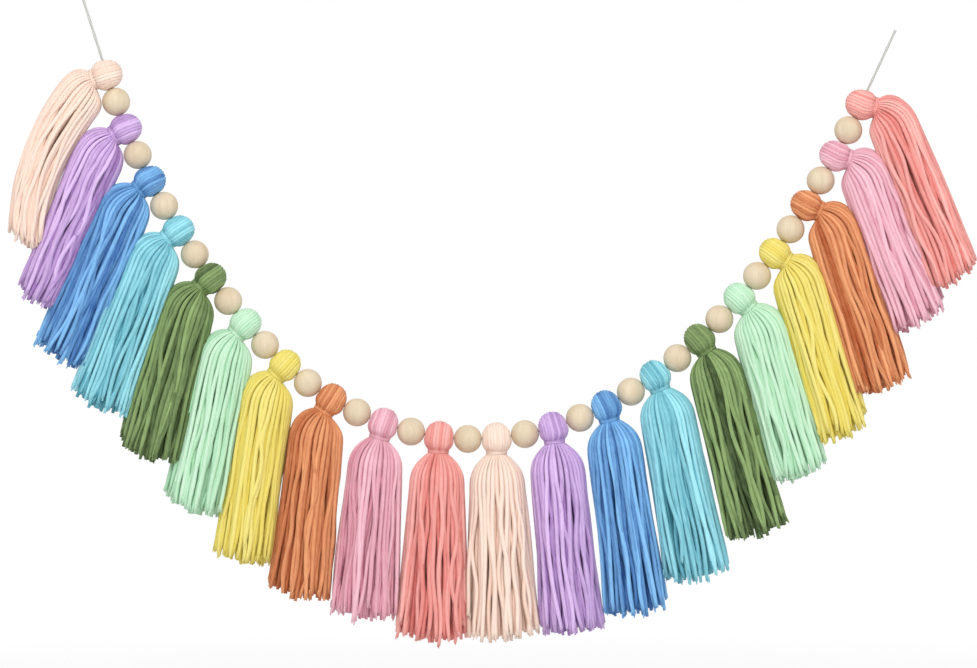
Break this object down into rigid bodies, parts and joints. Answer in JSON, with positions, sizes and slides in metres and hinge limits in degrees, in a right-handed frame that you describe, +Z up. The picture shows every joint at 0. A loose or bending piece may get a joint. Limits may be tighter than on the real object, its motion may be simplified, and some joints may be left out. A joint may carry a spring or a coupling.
{
  "type": "tassel garland",
  "caption": "Hanging garland of yarn tassels in pastel colours, alternating with plain wooden beads on a cord.",
  "frame": {"origin": "cut tip of the left end of the cord, where the garland is fastened", "axes": "+X along the row from its left end to its right end as seen from the front, +Y into the wall behind it, +Z up; the cord's curve and the hanging tassels lie in the XZ plane"},
  "size_m": [0.5582, 0.0394, 0.3671],
  "materials": {
    "cord": "smooth white cord",
    "wood": "plain turned, unvarnished",
    "yarn_peach": "soft matte yarn",
    "yarn_lilac": "soft matte yarn",
    "yarn_blue": "soft matte yarn",
    "yarn_turquoise": "soft matte yarn",
    "yarn_green": "soft matte yarn",
    "yarn_mint": "soft matte yarn",
    "yarn_yellow": "soft matte yarn",
    "yarn_orange": "soft matte yarn",
    "yarn_pink": "soft matte yarn",
    "yarn_coral": "soft matte yarn"
  },
  "bodies": {
    "cord": {"cord": "cord"},
    "tassel_01": {"tassel_01_yarn": "yarn_peach", "tassel_01_core_bead": "wood"},
    "tassel_02": {"tassel_02_yarn": "yarn_lilac", "tassel_02_core_bead": "wood"},
    "tassel_03": {"tassel_03_yarn": "yarn_blue", "tassel_03_core_bead": "wood"},
    "tassel_04": {"tassel_04_yarn": "yarn_turquoise", "tassel_04_core_bead": "wood"},
    "tassel_05": {"tassel_05_yarn": "yarn_green", "tassel_05_core_bead": "wood"},
    "tassel_06": {"tassel_06_yarn": "yarn_mint", "tassel_06_core_bead": "wood"},
    "tassel_07": {"tassel_07_yarn": "yarn_yellow", "tassel_07_core_bead": "wood"},
    "tassel_08": {"tassel_08_yarn": "yarn_orange", "tassel_08_core_bead": "wood"},
    "tassel_09": {"tassel_09_yarn": "yarn_pink", "tassel_09_core_bead": "wood"},
    "tassel_10": {"tassel_10_yarn": "yarn_coral", "tassel_10_core_bead": "wood"},
    "tassel_11": {"tassel_11_yarn": "yarn_peach", "tassel_11_core_bead": "wood"},
    "tassel_12": {"tassel_12_yarn": "yarn_lilac", "tassel_12_core_bead": "wood"},
    "tassel_13": {"tassel_13_yarn": "yarn_blue", "tassel_13_core_bead": "wood"},
    "tassel_14": {"tassel_14_yarn": "yarn_turquoise", "tassel_14_core_bead": "wood"},
    "tassel_15": {"tassel_15_yarn": "yarn_green", "tassel_15_core_bead": "wood"},
    "tassel_16": {"tassel_16_yarn": "yarn_mint", "tassel_16_core_bead": "wood"},
    "tassel_17": {"tassel_17_yarn": "yarn_yellow", "tassel_17_core_bead": "wood"},
    "tassel_18": {"tassel_18_yarn": "yarn_orange", "tassel_18_core_bead": "wood"},
    "tassel_19": {"tassel_19_yarn": "yarn_pink", "tassel_19_core_bead": "wood"},
    "tassel_20": {"tassel_20_yarn": "yarn_coral", "tassel_20_core_bead": "wood"},
    "wood_bead_01": {"wood_bead_01": "wood"},
    "wood_bead_02": {"wood_bead_02": "wood"},
    "wood_bead_03": {"wood_bead_03": "wood"},
    "wood_bead_04": {"wood_bead_04": "wood"},
    "wood_bead_05": {"wood_bead_05": "wood"},
    "wood_bead_06": {"wood_bead_06": "wood"},
    "wood_bead_07": {"wood_bead_07": "wood"},
    "wood_bead_08": {"wood_bead_08": "wood"},
    "wood_bead_09": {"wood_bead_09": "wood"},
    "wood_bead_10": {"wood_bead_10": "wood"},
    "wood_bead_11": {"wood_bead_11": "wood"},
    "wood_bead_12": {"wood_bead_12": "wood"},
    "wood_bead_13": {"wood_bead_13": "wood"},
    "wood_bead_14": {"wood_bead_14": "wood"},
    "wood_bead_15": {"wood_bead_15": "wood"},
    "wood_bead_16": {"wood_bead_16": "wood"},
    "wood_bead_17": {"wood_bead_17": "wood"},
    "wood_bead_18": {"wood_bead_18": "wood"},
    "wood_bead_19": {"wood_bead_19": "wood"}
  },
  "joints": [
    {"name": "tassel_01_swing", "type": "hinge", "parent": "cord", "child": "tassel_01", "pos_m": [0.01404, 0, -0.04454], "axis": [0.3007, 0, -0.9537], "range_deg": [-75, 75]},
    {"name": "tassel_02_swing", "type": "hinge", "parent": "cord", "child": "tassel_02", "pos_m": [0.02509, 0, -0.07531], "axis": [-0.3746, 0, 0.9272], "range_deg": [-75, 75]},
    {"name": "tassel_03_swing", "type": "hinge", "parent": "cord", "child": "tassel_03", "pos_m": [0.03878, 0, -0.105], "axis": [0.4617, 0, -0.887], "range_deg": [-75, 75]},
    {"name": "tassel_04_swing", "type": "hinge", "parent": "cord", "child": "tassel_04", "pos_m": [0.05512, 0, -0.13331], "axis": [-0.5373, 0, 0.8434], "range_deg": [-75, 75]},
    {"name": "tassel_05_swing", "type": "hinge", "parent": "cord", "child": "tassel_05", "pos_m": [0.07341, 0, -0.16042], "axis": [0.5807, 0, -0.8141], "range_deg": [-75, 75]},
    {"name": "tassel_06_swing", "type": "hinge", "parent": "cord", "child": "tassel_06", "pos_m": [0.09331, 0, -0.18635], "axis": [-0.6361, 0, 0.7716], "range_deg": [-75, 75]},
    {"name": "tassel_07_swing", "type": "hinge", "parent": "cord", "child": "tassel_07", "pos_m": [0.11591, 0, -0.20996], "axis": [0.7431, 0, -0.6691], "range_deg": [-75, 75]},
    {"name": "tassel_08_swing", "type": "hinge", "parent": "cord", "child": "tassel_08", "pos_m": [0.14216, 0, -0.22939], "axis": [-0.8572, 0, 0.515], "range_deg": [-75, 75]},
    {"name": "tassel_09_swing", "type": "hinge", "parent": "cord", "child": "tassel_09", "pos_m": [0.1717, 0, -0.24332], "axis": [0.9426, 0, -0.3338], "range_deg": [-75, 75]},
    {"name": "tassel_10_swing", "type": "hinge", "parent": "cord", "child": "tassel_10", "pos_m": [0.20345, 0, -0.25094], "axis": [-0.9914, 0, 0.1305], "range_deg": [-75, 75]},
    {"name": "tassel_11_swing", "type": "hinge", "parent": "cord", "child": "tassel_11", "pos_m": [0.2361, 0, -0.25166], "axis": [0.9962, 0, 0.0872], "range_deg": [-75, 75]},
    {"name": "tassel_12_swing", "type": "hinge", "parent": "cord", "child": "tassel_12", "pos_m": [0.26818, 0, -0.24556], "axis": [-0.9588, 0, -0.284], "range_deg": [-75, 75]},
    {"name": "tassel_13_swing", "type": "hinge", "parent": "cord", "child": "tassel_13", "pos_m": [0.29847, 0, -0.23333], "axis": [0.887, 0, 0.4617], "range_deg": [-75, 75]},
    {"name": "tassel_14_swing", "type": "hinge", "parent": "cord", "child": "tassel_14", "pos_m": [0.32626, 0, -0.21613], "axis": [-0.809, 0, -0.5878], "range_deg": [-75, 75]},
    {"name": "tassel_15_swing", "type": "hinge", "parent": "cord", "child": "tassel_15", "pos_m": [0.35148, 0, -0.19534], "axis": [0.7314, 0, 0.682], "range_deg": [-75, 75]},
    {"name": "tassel_16_swing", "type": "hinge", "parent": "cord", "child": "tassel_16", "pos_m": [0.37418, 0, -0.17183], "axis": [-0.6561, 0, -0.7547], "range_deg": [-75, 75]},
    {"name": "tassel_17_swing", "type": "hinge", "parent": "cord", "child": "tassel_17", "pos_m": [0.39442, 0, -0.14616], "axis": [0.5807, 0, 0.8141], "range_deg": [-75, 75]},
    {"name": "tassel_18_swing", "type": "hinge", "parent": "cord", "child": "tassel_18", "pos_m": [0.41247, 0, -0.11889], "axis": [-0.5225, 0, -0.8526], "range_deg": [-75, 75]},
    {"name": "tassel_19_swing", "type": "hinge", "parent": "cord", "child": "tassel_19", "pos_m": [0.42894, 0, -0.09065], "axis": [0.4848, 0, 0.8746], "range_deg": [-75, 75]},
    {"name": "tassel_20_swing", "type": "hinge", "parent": "cord", "child": "tassel_20", "pos_m": [0.44378, 0, -0.06152], "axis": [-0.4226, 0, -0.9063], "range_deg": [-75, 75]},
    {"name": "wood_bead_01_spin", "type": "hinge", "parent": "cord", "child": "wood_bead_01", "pos_m": [0.01927, 0, -0.06003], "axis": [0.3379, 0, -0.9412], "continuous": true},
    {"name": "wood_bead_02_spin", "type": "hinge", "parent": "cord", "child": "wood_bead_02", "pos_m": [0.03158, 0, -0.09032], "axis": [0.4187, 0, -0.9081], "continuous": true},
    {"name": "wood_bead_03_spin", "type": "hinge", "parent": "cord", "child": "wood_bead_03", "pos_m": [0.04664, 0, -0.11933], "axis": [0.5, 0, -0.866], "continuous": true},
    {"name": "wood_bead_04_spin", "type": "hinge", "parent": "cord", "child": "wood_bead_04", "pos_m": [0.06409, 0, -0.14698], "axis": [0.5592, 0, -0.829], "continuous": true},
    {"name": "wood_bead_05_spin", "type": "hinge", "parent": "cord", "child": "wood_bead_05", "pos_m": [0.08313, 0, -0.17356], "axis": [0.6088, 0, -0.7934], "continuous": true},
    {"name": "wood_bead_06_spin", "type": "hinge", "parent": "cord", "child": "wood_bead_06", "pos_m": [0.10417, 0, -0.19858], "axis": [0.6915, 0, -0.7224], "continuous": true},
    {"name": "wood_bead_07_spin", "type": "hinge", "parent": "cord", "child": "wood_bead_07", "pos_m": [0.12857, 0, -0.22031], "axis": [0.8039, 0, -0.5948], "continuous": true},
    {"name": "wood_bead_08_spin", "type": "hinge", "parent": "cord", "child": "wood_bead_08", "pos_m": [0.15658, 0, -0.2371], "axis": [0.9045, 0, -0.4266], "continuous": true},
    {"name": "wood_bead_09_spin", "type": "hinge", "parent": "cord", "child": "wood_bead_09", "pos_m": [0.18738, 0, -0.24796], "axis": [0.9724, 0, -0.2334], "continuous": true},
    {"name": "wood_bead_10_spin", "type": "hinge", "parent": "cord", "child": "wood_bead_10", "pos_m": [0.21976, 0, -0.25219], "axis": [0.9998, 0, -0.0218], "continuous": true},
    {"name": "wood_bead_11_spin", "type": "hinge", "parent": "cord", "child": "wood_bead_11", "pos_m": [0.25229, 0, -0.24941], "axis": [0.9825, 0, 0.1865], "continuous": true},
    {"name": "wood_bead_12_spin", "type": "hinge", "parent": "cord", "child": "wood_bead_12", "pos_m": [0.28362, 0, -0.24017], "axis": [0.9272, 0, 0.3746], "continuous": true},
    {"name": "wood_bead_13_spin", "type": "hinge", "parent": "cord", "child": "wood_bead_13", "pos_m": [0.31268, 0, -0.22525], "axis": [0.8504, 0, 0.5262], "continuous": true},
    {"name": "wood_bead_14_spin", "type": "hinge", "parent": "cord", "child": "wood_bead_14", "pos_m": [0.33918, 0, -0.20612], "axis": [0.7716, 0, 0.6361], "continuous": true},
    {"name": "wood_bead_15_spin", "type": "hinge", "parent": "cord", "child": "wood_bead_15", "pos_m": [0.36314, 0, -0.18388], "axis": [0.6947, 0, 0.7193], "continuous": true},
    {"name": "wood_bead_16_spin", "type": "hinge", "parent": "cord", "child": "wood_bead_16", "pos_m": [0.38461, 0, -0.15923], "axis": [0.6191, 0, 0.7853], "continuous": true},
    {"name": "wood_bead_17_spin", "type": "hinge", "parent": "cord", "child": "wood_bead_17", "pos_m": [0.40368, 0, -0.13268], "axis": [0.5519, 0, 0.8339], "continuous": true},
    {"name": "wood_bead_18_spin", "type": "hinge", "parent": "cord", "child": "wood_bead_18", "pos_m": [0.42086, 0, -0.10486], "axis": [0.5038, 0, 0.8638], "continuous": true},
    {"name": "wood_bead_19_spin", "type": "hinge", "parent": "cord", "child": "wood_bead_19", "pos_m": [0.43662, 0, -0.07621], "axis": [0.454, 0, 0.891], "continuous": true}
  ]
}
